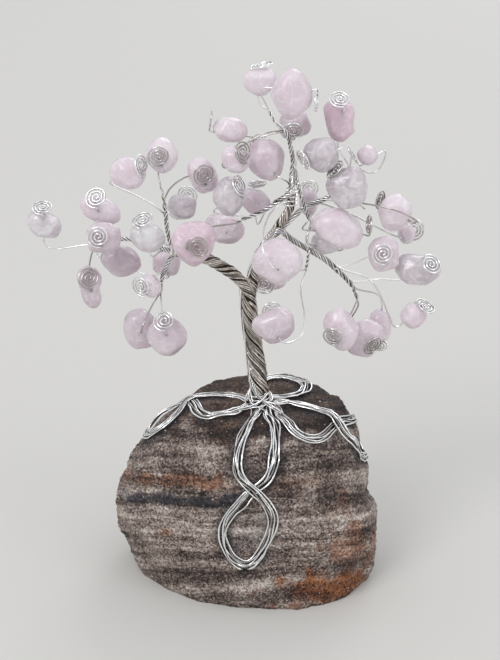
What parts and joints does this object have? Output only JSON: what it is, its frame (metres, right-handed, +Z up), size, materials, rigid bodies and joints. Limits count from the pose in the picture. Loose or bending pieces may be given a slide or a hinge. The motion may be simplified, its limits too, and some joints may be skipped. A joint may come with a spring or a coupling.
{
  "type": "gem tree ornament",
  "caption": "Wire gem tree ornament: a twisted silver wire trunk rooted over a rough rock, its branches ending in coils that hold polished pink stone chips which turn on their wires.",
  "frame": {"origin": "middle of the rock's flat underside, on the surface that the ornament stands on", "axes": "+Z up along the tree; the side the picture shows is towards -Y; +X is to the right in the picture"},
  "size_m": [0.1086, 0.0541, 0.1424],
  "materials": {
    "rock": "rough, unpolished banded gneiss",
    "chip": "tumbled and polished rose quartz",
    "wire": "bright silvered craft wire, lightly tarnished"
  },
  "bodies": {
    "tree": {"rock": "rock", "trunk": "wire", "left_limb": "wire", "right_limb": "wire", "front_root": "wire", "left_root": "wire", "right_root": "wire", "back_root": "wire", "root_collar": "wire", "crown_leader": "wire", "upper_right_branch": "wire", "middle_right_branch": "wire", "inner_left_branch": "wire", "lower_right_branch": "wire", "hanging_branch": "wire", "left_rising_branch": "wire", "left_reaching_branch": "wire", "left_drooping_branch": "wire", "crown_leader_chip_1": "chip", "crown_leader_chip_4": "chip", "crown_leader_chip_5": "chip", "crown_leader_chip_6": "chip", "upper_right_chip_1": "chip", "upper_right_chip_2": "chip", "upper_right_chip_3": "chip", "upper_right_chip_4": "chip", "upper_right_chip_5": "chip", "middle_right_chip_2": "chip", "lower_right_chip_1": "chip", "lower_right_chip_2": "chip", "lower_right_chip_4": "chip", "lower_right_chip_5": "chip", "hanging_chip_1": "chip", "left_rising_chip_1": "chip", "left_rising_chip_2": "chip", "left_reaching_chip_2": "chip", "left_drooping_chip_4": "chip"},
    "crown_leader_chip_2_body": {"crown_leader_chip_2": "chip"},
    "crown_leader_chip_3_body": {"crown_leader_chip_3": "chip"},
    "upper_right_chip_6_body": {"upper_right_chip_6": "chip"},
    "middle_right_chip_1_body": {"middle_right_chip_1": "chip"},
    "middle_right_chip_3_body": {"middle_right_chip_3": "chip"},
    "inner_left_chip_1_body": {"inner_left_chip_1": "chip"},
    "inner_left_chip_2_body": {"inner_left_chip_2": "chip"},
    "inner_left_chip_3_body": {"inner_left_chip_3": "chip"},
    "inner_left_chip_4_body": {"inner_left_chip_4": "chip"},
    "inner_left_chip_5_body": {"inner_left_chip_5": "chip"},
    "lower_right_chip_3_body": {"lower_right_chip_3": "chip"},
    "lower_right_chip_6_body": {"lower_right_chip_6": "chip"},
    "hanging_chip_2_body": {"hanging_chip_2": "chip"},
    "left_rising_chip_3_body": {"left_rising_chip_3": "chip"},
    "left_rising_chip_4_body": {"left_rising_chip_4": "chip"},
    "left_reaching_chip_1_body": {"left_reaching_chip_1": "chip"},
    "left_reaching_chip_3_body": {"left_reaching_chip_3": "chip"},
    "left_reaching_chip_4_body": {"left_reaching_chip_4": "chip"},
    "left_reaching_chip_5_body": {"left_reaching_chip_5": "chip"},
    "left_drooping_chip_1_body": {"left_drooping_chip_1": "chip"},
    "left_drooping_chip_2_body": {"left_drooping_chip_2": "chip"},
    "left_drooping_chip_3_body": {"left_drooping_chip_3": "chip"},
    "left_drooping_chip_5_body": {"left_drooping_chip_5": "chip"}
  },
  "joints": [
    {"name": "crown_leader_chip_2_turn", "type": "hinge", "parent": "tree", "child": "crown_leader_chip_2_body", "pos_m": [0.01187, -0.00836, 0.13729], "axis": [0.9781, -0.2079, 0], "continuous": true},
    {"name": "crown_leader_chip_3_turn", "type": "hinge", "parent": "tree", "child": "crown_leader_chip_3_body", "pos_m": [0.01299, 0.00695, 0.12319], "axis": [0, -0.9063, -0.4226], "continuous": true},
    {"name": "upper_right_chip_6_turn", "type": "hinge", "parent": "tree", "child": "upper_right_chip_6_body", "pos_m": [0.04271, 0.00554, 0.09377], "axis": [0.4698, 0.8138, -0.342], "continuous": true},
    {"name": "middle_right_chip_1_turn", "type": "hinge", "parent": "tree", "child": "middle_right_chip_1_body", "pos_m": [0.02411, -0.00553, 0.09918], "axis": [0.9752, 0.172, -0.1392], "continuous": true},
    {"name": "middle_right_chip_3_turn", "type": "hinge", "parent": "tree", "child": "middle_right_chip_3_body", "pos_m": [0.01687, 0.00793, 0.10198], "axis": [-0.1632, 0.9254, 0.342], "continuous": true},
    {"name": "inner_left_chip_1_turn", "type": "hinge", "parent": "tree", "child": "inner_left_chip_1_body", "pos_m": [-0.00337, -0.00342, 0.10683], "axis": [0.75, -0.433, 0.5], "continuous": true},
    {"name": "inner_left_chip_2_turn", "type": "hinge", "parent": "tree", "child": "inner_left_chip_2_body", "pos_m": [0.00263, 0.00813, 0.10276], "axis": [-0.0996, 0.5649, 0.8192], "continuous": true},
    {"name": "inner_left_chip_3_turn", "type": "hinge", "parent": "tree", "child": "inner_left_chip_3_body", "pos_m": [-0.00502, 0.00758, 0.09489], "axis": [-0.1677, 0.9513, -0.2588], "continuous": true},
    {"name": "inner_left_chip_4_turn", "type": "hinge", "parent": "tree", "child": "inner_left_chip_4_body", "pos_m": [-0.01435, -0.0132, 0.09907], "axis": [0, -1, 0], "continuous": true},
    {"name": "inner_left_chip_5_turn", "type": "hinge", "parent": "tree", "child": "inner_left_chip_5_body", "pos_m": [0.00847, -0.01075, 0.09169], "axis": [0, 0.9903, -0.1392], "continuous": true},
    {"name": "lower_right_chip_3_turn", "type": "hinge", "parent": "tree", "child": "lower_right_chip_3_body", "pos_m": [0.0436, -0.00138, 0.07566], "axis": [0.4066, -0.2347, 0.8829], "continuous": true},
    {"name": "lower_right_chip_6_turn", "type": "hinge", "parent": "tree", "child": "lower_right_chip_6_body", "pos_m": [0.03729, 0.01054, 0.06789], "axis": [0, 0.2588, -0.9659], "continuous": true},
    {"name": "hanging_chip_2_turn", "type": "hinge", "parent": "tree", "child": "hanging_chip_2_body", "pos_m": [0.00784, -0.00814, 0.07326], "axis": [-0.3043, 0.9366, 0.1736], "continuous": true},
    {"name": "left_rising_chip_3_turn", "type": "hinge", "parent": "tree", "child": "left_rising_chip_3_body", "pos_m": [-0.02908, -0.00237, 0.11289], "axis": [0.8365, -0.483, 0.2588], "continuous": true},
    {"name": "left_rising_chip_4_turn", "type": "hinge", "parent": "tree", "child": "left_rising_chip_4_body", "pos_m": [-0.01635, 0.00679, 0.1009], "axis": [0.172, 0.9752, 0.1392], "continuous": true},
    {"name": "left_reaching_chip_1_turn", "type": "hinge", "parent": "tree", "child": "left_reaching_chip_1_body", "pos_m": [-0.02544, -0.00673, 0.09724], "axis": [-0.25, -0.433, 0.866], "continuous": true},
    {"name": "left_reaching_chip_3_turn", "type": "hinge", "parent": "tree", "child": "left_reaching_chip_3_body", "pos_m": [-0.03616, -0.00616, 0.09671], "axis": [-0.0872, -0.9962, 0], "continuous": true},
    {"name": "left_reaching_chip_4_turn", "type": "hinge", "parent": "tree", "child": "left_reaching_chip_4_body", "pos_m": [-0.04, -0.00506, 0.08278], "axis": [0.1504, -0.8529, 0.5], "continuous": true},
    {"name": "left_reaching_chip_5_turn", "type": "hinge", "parent": "tree", "child": "left_reaching_chip_5_body", "pos_m": [-0.05201, -0.00125, 0.09886], "axis": [0.065, -0.3689, 0.9272], "continuous": true},
    {"name": "left_drooping_chip_1_turn", "type": "hinge", "parent": "tree", "child": "left_drooping_chip_1_body", "pos_m": [-0.03328, 0.00442, 0.08688], "axis": [-0.9266, 0.0324, 0.3746], "continuous": true},
    {"name": "left_drooping_chip_2_turn", "type": "hinge", "parent": "tree", "child": "left_drooping_chip_2_body", "pos_m": [-0.02095, 0.00903, 0.08449], "axis": [-0.171, 0.9698, 0.1736], "continuous": true},
    {"name": "left_drooping_chip_3_turn", "type": "hinge", "parent": "tree", "child": "left_drooping_chip_3_body", "pos_m": [-0.02418, -0.00508, 0.0832], "axis": [-0.4924, -0.8529, -0.1736], "continuous": true},
    {"name": "left_drooping_chip_5_turn", "type": "hinge", "parent": "tree", "child": "left_drooping_chip_5_body", "pos_m": [-0.02034, -0.0065, 0.06966], "axis": [0, -0.6691, 0.7431], "continuous": true}
  ]
}
